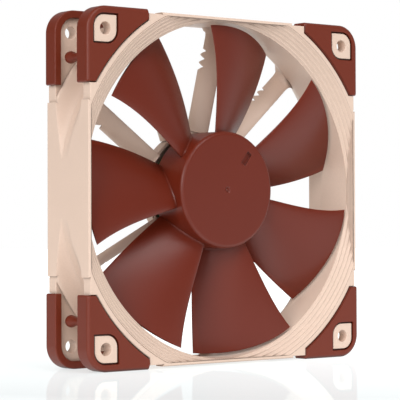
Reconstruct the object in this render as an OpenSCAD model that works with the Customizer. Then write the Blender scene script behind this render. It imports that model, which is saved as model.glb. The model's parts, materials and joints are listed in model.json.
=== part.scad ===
// Case fan, 120 mm square and 25 mm deep, standing on its lower edge.
// Every piece is drawn in the fan's own frame, with the fan axis along +z towards the intake side,
// x to the right and y up, and upright() then stands it up: intake towards -Y, top towards +Z.
// The origin is the centre of the fan on its axis. Angles run counter-clockwise seen from the intake,
// which is also the way the impeller turns.

/* [Overall size] */
// Side length of the fan, over the corner pads
fan_size = 120; // [119.6:0.1:120.4]
// Depth of the fan, over the corner pads
fan_depth = 25; // [25:0.1:25.4]
// Distance between the screw holes along a side
screw_spacing = 105; // [104.6:0.1:105.4]
// Diameter of a screw hole
screw_hole_d = 4.3; // [4:0.1:4.6]

/* [Frame] */
// Width over the frame's own side faces
frame_width = 118.6; // [118.4:0.1:118.8]
// Width over the recessed seats that carry the pads
seat_width = 117.2; // [117:0.1:117.4]
// Half length of a full-width side face, between the pad seats
side_face_half = 29; // [26:0.5:32]
// Depth of the frame between its own two faces
frame_thickness = 24.2; // [24:0.1:24.3]
// Outer radius of the ring round the opening
ring_r = 66; // [65.5:0.1:66.2]
// Radius of the bore round the blade tips
bore_r = 58; // [57.8:0.1:58.1]
// Half width of the square that trims the inlet and outlet bells
bell_square_half = 58.2; // [58.1:0.1:58.4]
// Radius of the inlet bell at the intake face
inlet_r = 64.2; // [63:0.1:64.6]
// Number of fine steps in the inlet bell
inlet_step_count = 5; // [3:1:6]
// Depth of the inlet bell
inlet_depth = 3.6; // [3:0.1:4]
// Radius of the outlet bell at the exhaust face
outlet_r = 62.7; // [61:0.1:63]
// Height, measured from the middle plane, where the outlet bell starts
outlet_start = -4; // [-5:0.1:-3]
// Distance from the middle plane to the inner face of a flange
flange_inner = 8; // [7.8:0.1:8.2]
// Width of the notch that lets the lead out of the outlet bell
lead_notch_w = 6; // [5:0.5:7]

/* [Guide vanes] */
// Thickness of a guide vane at its middle
vane_thickness = 1.7; // [1.2:0.1:2]
// Height of the vane's leading edge, measured from the middle plane
vane_front = -6; // [-6.4:0.1:-5.8]
// Sideways lean of a vane from its leading to its trailing edge
vane_lean = 5; // [3.5:0.1:5.4]
// Number of notches in a vane's trailing edge
vane_notch_count = 3; // [2:1:4]

/* [Impeller] */
// Number of blades
blade_count = 7; // [5:1:7]
// Radius at the blade tips
tip_r = 57; // [56.5:0.1:57.2]
// Outer radius of the hub
hub_r = 20.2; // [20:0.1:20.3]
// Height of the hub's front face above the middle plane
hub_front = 11; // [10.6:0.1:11.4]
// Height of the hub skirt's rear rim
hub_rear = -4.6; // [-4.8:0.1:-4.4]
// Angle of the first blade's leading edge
first_blade_angle = 44.1; // [0:0.1:51]

/* [Motor] */
// Shaft diameter
shaft_d = 3; // [2.9:0.1:3.1]
// Radial running clearance of the shaft in its bearing
bearing_clearance = 0.03; // [0.01:0.01:0.06]
// Outer radius of the stator's pole faces
stator_r = 15.1; // [14.8:0.1:15.2]
// Number of stator poles
pole_count = 4; // [4:1:4]
// Outer radius of the motor base
base_r = 20.6; // [20.4:0.1:21]
// Height of the motor base's front rim
base_front = -7.8; // [-8:0.1:-7.4]

/* [Corner pads] */
// Length of a pad along each side of the fan
pad_length = 25.3; // [24:0.1:26]
// Depth of the pad's side wall, from its face to its inner lip
pad_wall_depth = 6.3; // [6.2:0.1:6.6]
// Width of the lip behind the flange
pad_lip_w = 2.6; // [2.2:0.1:3]
// Side length of the recess round the screw hole's boss
window_size = 10.1; // [9.8:0.1:10.4]

/* [Hidden] */

$fn = 128;
// How far a cut runs past a face, and how far two joined shapes overlap
cut = 1;
seam = 0.01;

// Colours
beige = [0.88, 0.78, 0.70];
brown = [0.44, 0.20, 0.15];
black = [0.09, 0.09, 0.10];
steel = [0.62, 0.63, 0.65];
brass = [0.78, 0.62, 0.30];
bronze = [0.60, 0.42, 0.26];
copper = [0.72, 0.40, 0.24];
ferrite = [0.16, 0.15, 0.16];
board_green = [0.10, 0.32, 0.20];
ivory = [0.90, 0.88, 0.82];

// Frame
half_size = fan_size / 2;
half_depth = fan_depth / 2;
face_z = frame_thickness / 2;
frame_half = frame_width / 2;
seat_half = seat_width / 2;
screw_half = screw_spacing / 2;
// Height of the flange's face under a pad
seat_z = 10.9;
// Height of the raised boss round a screw hole
boss_z = 11.4;
// Distance from the lead's vane to its notch, and where the notch starts inside the bore
lead_notch_gap = 1.3;
lead_notch_start = 54;
// Gap between the end of a pad and the shoulder beside it
shoulder_play = 0.1;
boss_size = 9;
boss_corner_r = 4;
// Outer corner radius of the pads, and of the flanges under them
pad_corner_r = 8;
flange_corner_r = pad_corner_r - (half_size - seat_half);
// Half section of the waist between the flanges: radius and height, from front to rear
waist_profile = [
    [ring_r + 0.2, flange_inner], [64.8, 7.2], [63.4, 5.4], [62.1, 2.6], [60.9, 0.6], [60.3, -0.4],
    [60.1, -3.2], [60.5, -4], [61.6, -5], [63.4, -6], [66.2, -7.2], [ring_r + 0.2, -flange_inner]
];

// Guide vanes: unequal spacing, so that the blades don't pass them all at once
vane_angles = [41.9, 76.6, 110.4, 144.3, 175.9, 207.4, 239.8, 272.2, 304.6, 337.1, 369.5];
lead_vane_angle = vane_angles[9];
vane_rear = -face_z + 0.1;
vane_depth = vane_front - vane_rear;
vane_section_steps = 10;
// Share of the full thickness at a vane's edges, and how far its front edge is into the swelling
vane_edge_share = 0.42;
vane_swell_start = 0.12;
// Notches in the trailing edge: radius of the first one's root, and the length of their two flanks
first_notch_r = 44.25;
notch_pitch = 2.93;
notch_depth = 2.2;
notch_inner_flank = 1.05;
notch_outer_flank = 1.5;
// Shallow recess in the trailing edge, outside the notches
recess_start = 51.2;
recess_end = 56.5;
recess_depth = 0.8;

// Impeller
hub_wall = 1.6;
hub_cap = 1.8;
hub_edge_r = 1.4;
hub_inner_r = hub_r - hub_wall;
cap_inner_z = hub_front - hub_cap;
hub_boss_r = 6;
hub_boss_z = 5.8;
// Shallow pocket for balancing, and the mark of the moulding gate
pocket_size = [5, 2.3];
pocket_r = 13.8;
pocket_angle = 52;
pocket_depth = 0.9;
gate_r = 1;
gate_depth = 0.25;
blade_stations = 7;
blade_chord_steps = 10;
// Blades start inside the skirt's wall
blade_root_r = hub_r - 0.8;
// Leading edge: how far it sweeps forward to the tip, and how far it bows back on the way
lead_sweep = 0.5;
lead_bow = 8;
// Trailing edge: angle behind the leading edge at the hub, and how far it sweeps forward to the tip
blade_angle = 43.6;
trail_sweep = 7.3;
// Heights: leading edge at the hub, its rise towards the tip and the share of it that levels off
lead_root_z = 6.4;
lead_rise = 4.6;
lead_level = 1.9;
// Trailing edge: highest point, how far the hub's end drops below it, and how fast
trail_top_z = -2.05;
trail_drop = 1.65;
trail_turn = 1.5;
// Camber and half thickness at the hub, and their change towards the tip
root_camber = 1.7;
camber_gain = 0.6;
root_half = 1.25;
half_loss = 0.65;
// Exponents that put the thickest place near the leading edge and keep both edges blunt
thick_place = 0.7;
thick_blunt = 0.6;

// Rotor
yoke_r = hub_inner_r;
yoke_wall = 0.8;
yoke_rear = -5.2;
yoke_lip_r = 12;
magnet_r = yoke_r - yoke_wall;
magnet_inner_r = 15.6;
magnet_rear = -4.9;
shaft_r = shaft_d / 2;
shaft_front = 8.2;
shaft_rear = -9.05;
bush_r = 3.6;
bush_front = 8.8;
clip_groove_r = shaft_r - 0.25;
clip_r = 2.6;
clip_rear = -8.7;
clip_thickness = 0.5;
clip_gap = 1;
shaft_tip = 0.6;

// Stator and base
base_wall = 1.4;
base_floor_z = -10.6;
// Slot in the base's rim for the lead: width, distance from the vane, and height of its sill
lead_slot_w = 2.4;
lead_slot_gap = 1.2;
lead_slot_sill = 0.6;
label_r = 17.4;
label_depth = 0.35;
label_play = 0.1;
post_r = 5;
post_front = 5;
shell_r = 4;
shell_front = 5.2;
shell_rear = base_floor_z + 0.1;
bearing_outer_r = 3.2;
bearing_front = 4;
bearing_rear = -7.6;
seal_front = 4.8;
seal_play = 0.4;
thrust_front = -9.1;
thrust_rear = -9.6;
core_front = 3.8;
core_rear = -2.2;
core_inner_r = post_r + 0.05;
core_hub_r = 7.4;
pole_w = 4;
pole_shoe_r = 12.9;
pole_gap_w = 3.2;
insulator_t = 0.6;
insulator_rim = 0.7;
insulator_side = 0.4;
insulator_flange_t = 0.8;
insulator_flange_w = 10;
coil_inner_r = 7.9;
coil_outer_r = 12;
coil_half_w = 4.4;
coil_front = 6.6;
coil_rear = -5.2;
// Play between a winding and its arm, and the step of its rounded outer corners
coil_play = 0.5;
coil_step = 1;
board_front = -7.6;
board_rear = -8.6;
board_r = 17.9;
board_play = 0.2;
solder_hole_d = 0.9;
solder_hole_inset = 2;
solder_hole_step = 9;
// Pieces on the board: radius, angle and size
sensor_place = [16.2, 45];
sensor_size = [1.6, 3, 1.5];
chip_place = [11.5, 200];
chip_size = [4, 5, 1.4];
chip_leg_size = [6, 0.4, 0.6];
chip_leg_pitch = 1.27;
chip_lift = 0.1;
capacitor_place = [10, 70];
capacitor_size = [1.6, 0.9, 0.9];
capacitor_step = 17;
resistor_place = [13, 270];
resistor_size = [1.2, 0.8, 0.5];
resistor_step = 15;

// Corner pads
pad_arc_r = ring_r + 0.25;
// Recess round the boss: corner radius, height of its floor, and the play round the boss below it
window_corner_r = 4.5;
window_floor_z = 11.2;
boss_play = 0.1;
// Nub through the flange: place, neck, barb, stalk and ball end
nub_side = 55.5;
nub_along = 43.8;
nub_neck_r = 1.5;
nub_play = 0.1;
nub_root_z = seat_z + 0.3;
nub_barb_r = 1.75;
nub_barb_front = 7.6;
nub_barb_rear = 7.1;
nub_stalk_r = 1.35;
nub_stalk_front = 6.4;
nub_stalk_rear = -1;
nub_ball_r = 2.1;
nub_ball_z = -3.3;
nub_end = -5.4;
nub_ball_steps = 5;

// ---------------------------------------------------------------- shared shapes

// Stands a piece up: the fan axis lies along -Y and the piece's y axis becomes +Z.
module upright() {
    rotate([90, 0, 0]) children();
}

// Disc or tube from one height to another, with no inner radius for a disc.
module tube(outer_r, inner_r, z_low, z_high) {
    translate([0, 0, z_low]) difference() {
        cylinder(r = outer_r, h = z_high - z_low);
        if (inner_r > 0)
            translate([0, 0, -cut]) cylinder(r = inner_r, h = z_high - z_low + 2 * cut);
    }
}

// Block centred on x and y, from one height to another.
module block(size_x, size_y, z_low, z_high) {
    translate([-size_x / 2, -size_y / 2, z_low]) cube([size_x, size_y, z_high - z_low]);
}

// Square plate with rounded corners, centred on x and y.
module rounded_plate(half, corner_r, z_low, z_high) {
    block(2 * half, 2 * (half - corner_r), z_low, z_high);
    block(2 * (half - corner_r), 2 * half, z_low, z_high);
    for (sx = [-1, 1], sy = [-1, 1])
        translate([sx * (half - corner_r), sy * (half - corner_r), z_low])
            cylinder(r = corner_r, h = z_high - z_low);
}

// Leaf-shaped prism at the screw hole of the top right corner:
// two corners on the fan's diagonal are round and the other two are square.
module leaf(size, corner_r, z_low, z_high) {
    half = size / 2;
    height = z_high - z_low;
    translate([screw_half, screw_half, z_low]) {
        translate([-half, -half + corner_r, 0]) cube([size - corner_r, size - corner_r, height]);
        translate([-half + corner_r, -half, 0]) cube([size - corner_r, size - corner_r, height]);
        translate([-half + corner_r, -half + corner_r, 0]) cylinder(r = corner_r, h = height);
        translate([half - corner_r, half - corner_r, 0]) cylinder(r = corner_r, h = height);
    }
}

// Puts a shape of the top right intake corner at another corner. An exhaust corner is the intake
// corner turned over about the fan's diagonal.
module at_corner(left, bottom, exhaust) {
    mirror([left, 0, 0]) mirror([0, bottom, 0]) mirror([0, 0, exhaust])
        mirror([exhaust, -exhaust, 0]) children();
}

// Copies a shape of the top right intake corner to all eight corners.
module each_corner() {
    for (left = [0, 1], bottom = [0, 1], exhaust = [0, 1]) at_corner(left, bottom, exhaust) children();
}

// ---------------------------------------------------------------- frame

// Air passage: bore, stepped inlet bell and flared outlet bell.
module air_passage() {
    cylinder(r = bore_r, h = 2 * fan_depth, center = true);
    step_h = inlet_depth / inlet_step_count;
    step_w = (inlet_r - bore_r) / inlet_step_count;
    intersection() {
        block(2 * bell_square_half, 2 * bell_square_half, -fan_depth, fan_depth);
        union() {
            for (i = [1 : inlet_step_count])
                tube(bore_r + i * step_w, 0, face_z - inlet_depth + (i - 1) * step_h, fan_depth);
            rotate_extrude() polygon([
                [0, outlet_start], [bore_r, outlet_start], [outlet_r, -face_z],
                [outlet_r, -fan_depth], [0, -fan_depth]
            ]);
        }
    }
}

// Everything outside the waist, between the two flanges.
module waist_cut() {
    far_r = fan_size;
    rotate_extrude() polygon(concat(waist_profile, [[far_r, -flange_inner], [far_r, flange_inner]]));
}

// Ring round the opening, with a full-width face in the middle of each side.
module ring_body() {
    intersection() {
        tube(ring_r, 0, -face_z, face_z);
        union() {
            block(2 * seat_half, 2 * seat_half, -fan_depth, fan_depth);
            block(2 * frame_half, 2 * side_face_half, -fan_depth, fan_depth);
            block(2 * side_face_half, 2 * frame_half, -fan_depth, fan_depth);
        }
    }
}

// Holes through a flange: one for the screw and one for the pad's nub.
module corner_holes() {
    translate([screw_half, screw_half, 0]) cylinder(d = screw_hole_d, h = fan_depth);
    translate([nub_side, nub_along, 0]) cylinder(r = nub_neck_r + nub_play, h = fan_depth);
}

// Full-depth shoulders of the flange, between the side faces and the ends of the pad.
module flange_shoulders() {
    length = half_size - pad_length - shoulder_play - side_face_half;
    for (swap = [0, 1])
        mirror([swap, -swap, 0])
            translate([side_face_half, side_face_half, flange_inner])
                cube([length, seat_half - side_face_half, face_z - flange_inner]);
}

// Notch in the right side of the outlet bell, beside the vane that carries the lead.
module lead_notch() {
    vane_y = bell_square_half * tan(lead_vane_angle);
    translate([lead_notch_start, vane_y - lead_notch_gap - lead_notch_w, -fan_depth])
        cube([half_size + cut - lead_notch_start, lead_notch_w, fan_depth - flange_inner]);
}

module frame_shroud() {
    color(beige) upright() difference() {
        ring_body();
        waist_cut();
        air_passage();
        lead_notch();
    }
}

// The eight corner flanges outside the ring, with their bosses and holes.
module screw_flanges() {
    color(beige) upright() difference() {
        union() {
            for (mz = [0, 1]) mirror([0, 0, mz])
                rounded_plate(seat_half, flange_corner_r, flange_inner, seat_z);
            each_corner() leaf(boss_size, boss_corner_r, flange_inner, boss_z);
            each_corner() flange_shoulders();
        }
        tube(ring_r, 0, -fan_depth, fan_depth);
        each_corner() corner_holes();
    }
}

// ---------------------------------------------------------------- guide vanes

// Sideways position and half thickness of a vane's section; s runs from leading to trailing edge.
function vane_side(s) = vane_lean * sin(90 * s);
function vane_half(s) =
    let (place = min(1, vane_swell_start + s * (1 - vane_swell_start)))
    vane_thickness / 2 * (vane_edge_share + (1 - vane_edge_share) * sin(180 * place));
function vane_point(s, side) = [vane_side(s) + side * vane_half(s), vane_front - s * vane_depth];

module vane_section() {
    steps = vane_section_steps;
    polygon(concat(
        [for (i = [0 : steps]) vane_point(i / steps, -1)],
        [for (i = [steps : -1 : 0]) vane_point(i / steps, 1)]
    ));
}

// Cutter for a vane's trailing edge, from an outline of radius and height.
module trailing_cut(outline) {
    rotate([90, 0, 0]) translate([0, 0, -2 * vane_lean]) linear_extrude(4 * vane_lean) polygon(outline);
}

// Pointed notches in the trailing edge, and the recess outside them.
module vane_notches() {
    for (i = [0 : vane_notch_count - 1]) {
        root = first_notch_r + i * notch_pitch;
        trailing_cut([
            [root - notch_inner_flank, vane_rear - cut], [root - notch_inner_flank, vane_rear],
            [root, vane_rear + notch_depth],
            [root + notch_outer_flank, vane_rear], [root + notch_outer_flank, vane_rear - cut]
        ]);
    }
    trailing_cut([
        [recess_start, vane_rear - cut], [recess_start, vane_rear + recess_depth],
        [recess_end, vane_rear + recess_depth], [recess_end, vane_rear - cut]
    ]);
}

// Ring-shaped space that the vanes fill, from the motor base out to the wall of the outlet bell.
module vane_space() {
    intersection() {
        rotate_extrude() polygon([
            [base_r, 0], [bore_r, 0], [bore_r, outlet_start], [outlet_r, -face_z], [base_r, -face_z]
        ]);
        block(2 * bell_square_half, 2 * bell_square_half, -fan_depth, fan_depth);
    }
}

module guide_vane(angle) {
    intersection() {
        rotate([0, 0, angle]) difference() {
            rotate([90, 0, 90]) linear_extrude(outlet_r + cut) vane_section();
            vane_notches();
        }
        vane_space();
    }
}

module guide_vanes() {
    color(beige) upright() for (angle = vane_angles) guide_vane(angle);
}

// ---------------------------------------------------------------- motor base

module motor_base() {
    color(beige) upright() difference() {
        union() {
            tube(base_r, base_r - base_wall, base_floor_z, base_front);
            tube(base_r, 0, -face_z, base_floor_z + seam);
            tube(post_r, 0, base_floor_z, post_front);
        }
        tube(shell_r, 0, shell_rear, fan_depth);
        tube(label_r, 0, -fan_depth, -face_z + label_depth);
        // Slot in the rim where the lead leaves the base
        rotate([0, 0, lead_vane_angle])
            translate([base_r - 2 * base_wall, -lead_slot_w - lead_slot_gap, base_floor_z + lead_slot_sill])
                cube([4 * base_wall, lead_slot_w, fan_depth]);
    }
}

// ---------------------------------------------------------------- corner pads

// Outline of a pad at the top right corner, inset from its outer faces.
module pad_outline(inset, z_low, z_high) {
    half = half_size - inset;
    corner_r = pad_corner_r - inset;
    leg_start = half_size - pad_length;
    side = half - leg_start;
    intersection() {
        rounded_plate(half, corner_r, z_low, z_high);
        translate([leg_start, leg_start, z_low]) cube([side + cut, side + cut, z_high - z_low]);
    }
}

// Nub pulled through the flange: neck, barb, and a long stalk with a ball end.
module pad_nub() {
    ball = [
        for (i = [0 : nub_ball_steps])
            let (a = 90 * i / nub_ball_steps)
            [nub_ball_r * cos(a), nub_ball_z + (nub_end - nub_ball_z) * sin(a)]
    ];
    rotate_extrude() polygon(concat(
        [[0, nub_root_z], [nub_neck_r, nub_root_z], [nub_neck_r, flange_inner],
         [nub_barb_r, nub_barb_front], [nub_barb_r, nub_barb_rear],
         [nub_stalk_r, nub_stalk_front], [nub_stalk_r, nub_stalk_rear]],
        ball
    ));
}

module pad() {
    wall = half_size - seat_half;
    lip_front = flange_inner;
    lip_rear = half_depth - pad_wall_depth;
    difference() {
        union() {
            difference() {
                pad_outline(0, lip_rear, half_depth);
                pad_outline(wall, lip_front, seat_z);
                pad_outline(pad_lip_w, lip_rear - cut, lip_front + seam);
                // The flange's ring passes inside the pad's arc
                tube(pad_arc_r, 0, -cut, fan_depth);
            }
            translate([nub_side, nub_along, 0]) pad_nub();
        }
        leaf(boss_size + 2 * boss_play, boss_corner_r + boss_play, seat_z - cut, fan_depth);
        leaf(window_size, window_corner_r, window_floor_z, fan_depth);
    }
}

module pad_at(right, top, intake) {
    color(brown) upright() at_corner(right ? 0 : 1, top ? 0 : 1, intake ? 0 : 1) pad();
}

// ---------------------------------------------------------------- bearing

module bearing_shell() {
    color(brass) upright() tube(shell_r, bearing_outer_r, shell_rear, shell_front);
}

module sleeve_bearing() {
    color(bronze) upright() tube(bearing_outer_r, shaft_r + bearing_clearance, bearing_rear, bearing_front);
}

module oil_seal() {
    color(black) upright() tube(bearing_outer_r, shaft_r + seal_play, bearing_front, seal_front);
}

module thrust_plate() {
    color(ivory) upright() tube(bearing_outer_r, 0, thrust_rear, thrust_front);
}

module bearing_magnet() {
    color(ferrite) upright() tube(bearing_outer_r, 0, shell_rear, thrust_rear);
}

// ---------------------------------------------------------------- stator

// Laminated core: a hub ring, one arm a pole, and curved pole faces with slots between them.
module stator_core() {
    slot_length = 2 * (stator_r - pole_shoe_r + cut);
    color(steel) upright() difference() {
        union() {
            tube(core_hub_r, 0, core_rear, core_front);
            difference() {
                tube(stator_r, pole_shoe_r, core_rear, core_front);
                for (i = [0 : pole_count - 1]) rotate([0, 0, (i + 0.5) * 360 / pole_count])
                    translate([stator_r, 0, 0])
                        block(slot_length, pole_gap_w, core_rear - cut, core_front + cut);
            }
            for (i = [0 : pole_count / 2 - 1]) rotate([0, 0, i * 360 / pole_count])
                block(2 * pole_shoe_r + cut, pole_w, core_rear, core_front);
        }
        tube(core_inner_r, 0, -fan_depth, fan_depth);
    }
}

// Moulded insulator on one side of the core: a ring, and a flanged saddle on each arm.
module insulator(z_low, z_high, flange_low, flange_high) {
    saddle_length = pole_shoe_r - core_hub_r + 2 * insulator_flange_t;
    difference() {
        union() {
            tube(core_hub_r, 0, z_low, z_high);
            tube(core_hub_r, core_hub_r - insulator_rim, flange_low, flange_high);
            for (i = [0 : pole_count - 1]) rotate([0, 0, i * 360 / pole_count]) {
                translate([(core_hub_r + pole_shoe_r) / 2, 0, 0])
                    block(saddle_length, pole_w + 2 * insulator_side, z_low, z_high);
                translate([pole_shoe_r + insulator_flange_t / 2, 0, 0])
                    block(insulator_flange_t, insulator_flange_w, flange_low, flange_high);
            }
        }
        tube(core_inner_r, 0, -fan_depth, fan_depth);
    }
}

module front_insulator() {
    color(black) upright() insulator(core_front, core_front + insulator_t, core_front, coil_front);
}

module rear_insulator() {
    color(black) upright() insulator(core_rear - insulator_t, core_rear, coil_rear, core_rear);
}

// Copper winding round one arm.
module coil(angle) {
    length = coil_outer_r - coil_inner_r;
    color(copper) upright() rotate([0, 0, angle]) translate([(coil_inner_r + coil_outer_r) / 2, 0, 0])
        difference() {
            union() {
                block(length, 2 * (coil_half_w - coil_step), coil_rear, coil_front);
                block(length, 2 * coil_half_w, coil_rear + coil_step, coil_front - coil_step);
            }
            block(fan_depth, pole_w + 2 * coil_play, core_rear - insulator_t, core_front + insulator_t);
        }
}

// ---------------------------------------------------------------- circuit board

module circuit_board() {
    color(board_green) upright() difference() {
        tube(board_r, post_r + board_play, board_rear, board_front);
        // Three solder holes for the lead
        for (i = [-1 : 1]) rotate([0, 0, lead_vane_angle + i * solder_hole_step])
            translate([board_r - solder_hole_inset, 0, board_rear - cut])
                cylinder(d = solder_hole_d, h = board_front - board_rear + 2 * cut);
    }
}

// Block on the rear side of the board, at a radius and an angle.
module behind_board(place, turn, size, lift) {
    rotate([0, 0, place[1] + turn]) translate([place[0], 0, 0])
        block(size[0], size[1], board_rear - lift - size[2], board_rear - lift);
}

module hall_sensor() {
    color(black) upright() rotate([0, 0, sensor_place[1]]) translate([sensor_place[0], 0, 0])
        block(sensor_size[0], sensor_size[1], board_front, board_front + sensor_size[2]);
}

module driver_chip() {
    color(black) upright() {
        behind_board(chip_place, 0, chip_size, chip_lift);
        rotate([0, 0, chip_place[1]]) for (i = [-1.5 : 1 : 1.5])
            translate([chip_place[0], i * chip_leg_pitch, 0])
                block(chip_leg_size[0], chip_leg_size[1], board_rear - chip_leg_size[2], board_rear);
    }
}

module board_capacitors() {
    color(bronze) upright() for (i = [0 : 2])
        behind_board(capacitor_place, i * capacitor_step, capacitor_size, 0);
}

module board_resistors() {
    color(black) upright() for (i = [0 : 3])
        behind_board(resistor_place, i * resistor_step, resistor_size, 0);
}

module rear_label() {
    color(ivory) upright() tube(label_r - label_play, 0, -face_z + label_play, -face_z + label_depth);
}

// ---------------------------------------------------------------- impeller

// Blade edges as functions of t, which runs from 0 at the hub to 1 at the tip.
function lead_angle(t) = first_blade_angle + lead_sweep * t - lead_bow * t * (1 - t);
function trail_angle(t) = first_blade_angle - blade_angle + trail_sweep * t;
function lead_z(t) = lead_root_z + lead_rise * t - lead_level * t * t;
function trail_z(t) = trail_top_z - trail_drop * pow(1 - trail_turn * t, 2);
function camber(t) = root_camber + camber_gain * t;
function blade_half(t, s) =
    (root_half - half_loss * t) * pow(max(0, sin(180 * pow(s, thick_place))), thick_blunt);

// Point of a blade: t along the span, s from leading to trailing edge, side 1 in front and -1 behind.
function blade_point(t, s, side) =
    let (
        r = blade_root_r + t * (tip_r - blade_root_r),
        angle = lead_angle(t) + s * (trail_angle(t) - lead_angle(t)),
        middle = lead_z(t) + s * (trail_z(t) - lead_z(t)) + 4 * camber(t) * s * (1 - s)
    )
    [r * cos(angle), r * sin(angle), middle + side * blade_half(t, s)];

// Chord positions, closer together near both edges.
function chord_place(i) = (1 - cos(180 * i / blade_chord_steps)) / 2;

// One cambered blade as a closed mesh of spanwise strips.
module blade() {
    n = blade_chord_steps;
    loop = 2 * n;
    points = [
        for (i = [0 : blade_stations - 1], j = [0 : loop - 1])
            let (t = i / (blade_stations - 1), s = chord_place(j <= n ? j : loop - j))
            blade_point(t, s, j <= n ? 1 : -1)
    ];
    skin = [
        for (i = [0 : blade_stations - 2], j = [0 : loop - 1])
            let (a = i * loop + j, b = i * loop + (j + 1) % loop)
            each [[a, a + loop, b + loop], [a, b + loop, b]]
    ];
    caps = [
        for (i = [0, blade_stations - 1], j = [0 : n - 1])
            let (base = i * loop, a = base + j, b = base + j + 1,
                 c = base + (loop - j - 1) % loop, d = base + (loop - j) % loop,
                 strip = j == 0 ? [[a, b, c]] : j == n - 1 ? [[a, b, d]] : [[a, b, c], [a, c, d]])
            each i == 0 ? strip : [for (f = strip) [f[0], f[2], f[1]]]
    ];
    polyhedron(points, concat(skin, caps));
}

// Hub section: cap, skirt and the boss that holds the shaft's bush.
module hub_shell() {
    arc_steps = 6;
    outer_arc = [
        for (i = [0 : arc_steps])
            let (a = 90 - i * 90 / arc_steps)
            [hub_r - hub_edge_r + hub_edge_r * cos(a), hub_front - hub_edge_r + hub_edge_r * sin(a)]
    ];
    difference() {
        rotate_extrude() polygon(concat(
            [[0, hub_front]], outer_arc,
            [[hub_r, hub_rear], [hub_inner_r, hub_rear], [hub_inner_r, cap_inner_z],
             [hub_boss_r, cap_inner_z], [hub_boss_r, hub_boss_z], [0, hub_boss_z]]
        ));
        tube(bush_r, 0, -cut, bush_front);
        rotate([0, 0, pocket_angle]) translate([pocket_r, 0, 0])
            block(pocket_size[0], pocket_size[1], hub_front - pocket_depth, hub_front + cut);
        tube(gate_r, 0, hub_front - gate_depth, hub_front + cut);
    }
}

module impeller() {
    color(brown) upright() union() {
        hub_shell();
        for (i = [0 : blade_count - 1]) rotate([0, 0, i * 360 / blade_count]) blade();
    }
}

// ---------------------------------------------------------------- rotor

module rotor_yoke() {
    color(steel) upright() {
        tube(yoke_r, magnet_r, yoke_rear, cap_inner_z);
        tube(magnet_r + seam, yoke_lip_r, cap_inner_z - yoke_wall, cap_inner_z);
    }
}

module ring_magnet() {
    color(ferrite) upright() tube(magnet_r, magnet_inner_r, magnet_rear, cap_inner_z - yoke_wall);
}

module shaft_bush() {
    color(brass) upright() tube(bush_r, shaft_r, hub_boss_z, bush_front);
}

// Shaft with a chamfered rear tip and the groove for its clip.
module shaft() {
    color(steel) upright() rotate_extrude() polygon([
        [0, shaft_front], [shaft_r, shaft_front],
        [shaft_r, clip_rear + clip_thickness], [clip_groove_r, clip_rear + clip_thickness],
        [clip_groove_r, clip_rear], [shaft_r, clip_rear],
        [shaft_r, shaft_rear + shaft_tip / 2], [shaft_r - shaft_tip, shaft_rear], [0, shaft_rear]
    ]);
}

// Split washer in the groove.
module retaining_clip() {
    color(ivory) upright() difference() {
        tube(clip_r, clip_groove_r, clip_rear, clip_rear + clip_thickness);
        translate([0, -clip_gap / 2, clip_rear - cut])
            cube([clip_r + cut, clip_gap, clip_thickness + 2 * cut]);
    }
}

// ---------------------------------------------------------------- assembly

frame_shroud();
screw_flanges();
guide_vanes();
motor_base();
pad_at(false, true, true);  // pad_intake_top_left
pad_at(true, true, true);  // pad_intake_top_right
pad_at(false, false, true);  // pad_intake_bottom_left
pad_at(true, false, true);  // pad_intake_bottom_right
pad_at(false, true, false);  // pad_exhaust_top_left
pad_at(true, true, false);  // pad_exhaust_top_right
pad_at(false, false, false);  // pad_exhaust_bottom_left
pad_at(true, false, false);  // pad_exhaust_bottom_right
bearing_shell();
sleeve_bearing();
oil_seal();
thrust_plate();
bearing_magnet();
stator_core();
front_insulator();
rear_insulator();
coil(90);  // coil_top
coil(180);  // coil_left
coil(270);  // coil_bottom
coil(0);  // coil_right
circuit_board();
hall_sensor();
driver_chip();
board_capacitors();
board_resistors();
rear_label();
impeller();
rotor_yoke();
ring_magnet();
shaft_bush();
shaft();
retaining_clip();
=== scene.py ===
"""Looks of the case fan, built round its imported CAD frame.

Shapes are drawn in the fan's own frame, in millimetres: the fan axis along z towards the intake, x to the
right and y up. row() turns such a point into the row frame, in metres: intake towards -Y, top towards +Z.
Angles run counter-clockwise seen from the intake.
"""
import json
import math

import bmesh
import bpy
from mathutils import Matrix, Vector


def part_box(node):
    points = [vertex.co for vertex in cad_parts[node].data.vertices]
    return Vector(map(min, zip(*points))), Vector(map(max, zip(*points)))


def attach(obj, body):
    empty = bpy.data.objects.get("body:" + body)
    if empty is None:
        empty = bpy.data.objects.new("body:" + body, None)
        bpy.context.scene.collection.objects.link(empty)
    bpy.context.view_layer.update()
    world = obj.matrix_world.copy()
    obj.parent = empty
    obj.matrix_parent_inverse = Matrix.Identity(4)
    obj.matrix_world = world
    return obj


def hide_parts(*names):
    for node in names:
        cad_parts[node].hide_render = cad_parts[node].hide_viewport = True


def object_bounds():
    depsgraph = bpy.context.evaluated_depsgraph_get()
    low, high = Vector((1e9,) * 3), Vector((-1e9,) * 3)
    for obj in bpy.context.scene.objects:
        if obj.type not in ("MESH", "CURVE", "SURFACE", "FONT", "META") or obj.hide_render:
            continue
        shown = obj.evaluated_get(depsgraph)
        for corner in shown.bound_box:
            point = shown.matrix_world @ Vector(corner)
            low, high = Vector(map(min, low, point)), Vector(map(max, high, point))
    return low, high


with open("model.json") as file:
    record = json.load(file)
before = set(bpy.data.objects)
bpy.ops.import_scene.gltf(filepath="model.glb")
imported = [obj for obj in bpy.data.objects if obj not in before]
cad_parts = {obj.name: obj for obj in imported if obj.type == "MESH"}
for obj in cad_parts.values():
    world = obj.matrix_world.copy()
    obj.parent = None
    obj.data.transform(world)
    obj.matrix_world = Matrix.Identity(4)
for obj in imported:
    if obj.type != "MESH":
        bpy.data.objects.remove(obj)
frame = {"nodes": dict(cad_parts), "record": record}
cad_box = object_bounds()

MM = 0.001
CUT = 1.0

# ---------------------------------------------------------------- sizes taken from the CAD frame


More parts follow.
